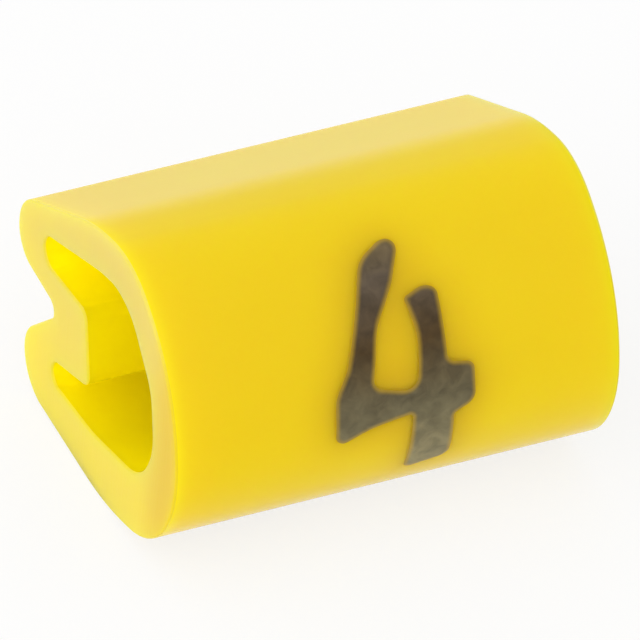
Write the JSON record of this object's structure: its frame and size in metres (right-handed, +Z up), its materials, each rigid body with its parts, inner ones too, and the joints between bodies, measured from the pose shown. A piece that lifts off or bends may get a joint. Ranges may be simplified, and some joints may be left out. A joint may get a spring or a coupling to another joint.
{
  "type": "slide-on cable marker",
  "caption": "Short soft-plastic sleeve of D-shaped section with an inward-folded grip nose, slid onto a cable to carry a figure on its bowed front wall.",
  "frame": {"origin": "on the table, under the middle of the marker's bounding box", "axes": "+X along the marker, in the reading direction of its figure; -Y towards the bowed front wall that carries the figure; +Z up, as it rests on a table"},
  "size_m": [0.005, 0.004, 0.0033],
  "materials": {
    "yellow_pvc": "soft extruded PVC, satin skin, slightly translucent, with matt knife-cut ends",
    "printing_ink": "thin matt brown-black ink, printed on the bowed front wall"
  },
  "bodies": {
    "root": {"marker_sleeve": "yellow_pvc"}
  },
  "joints": []
}
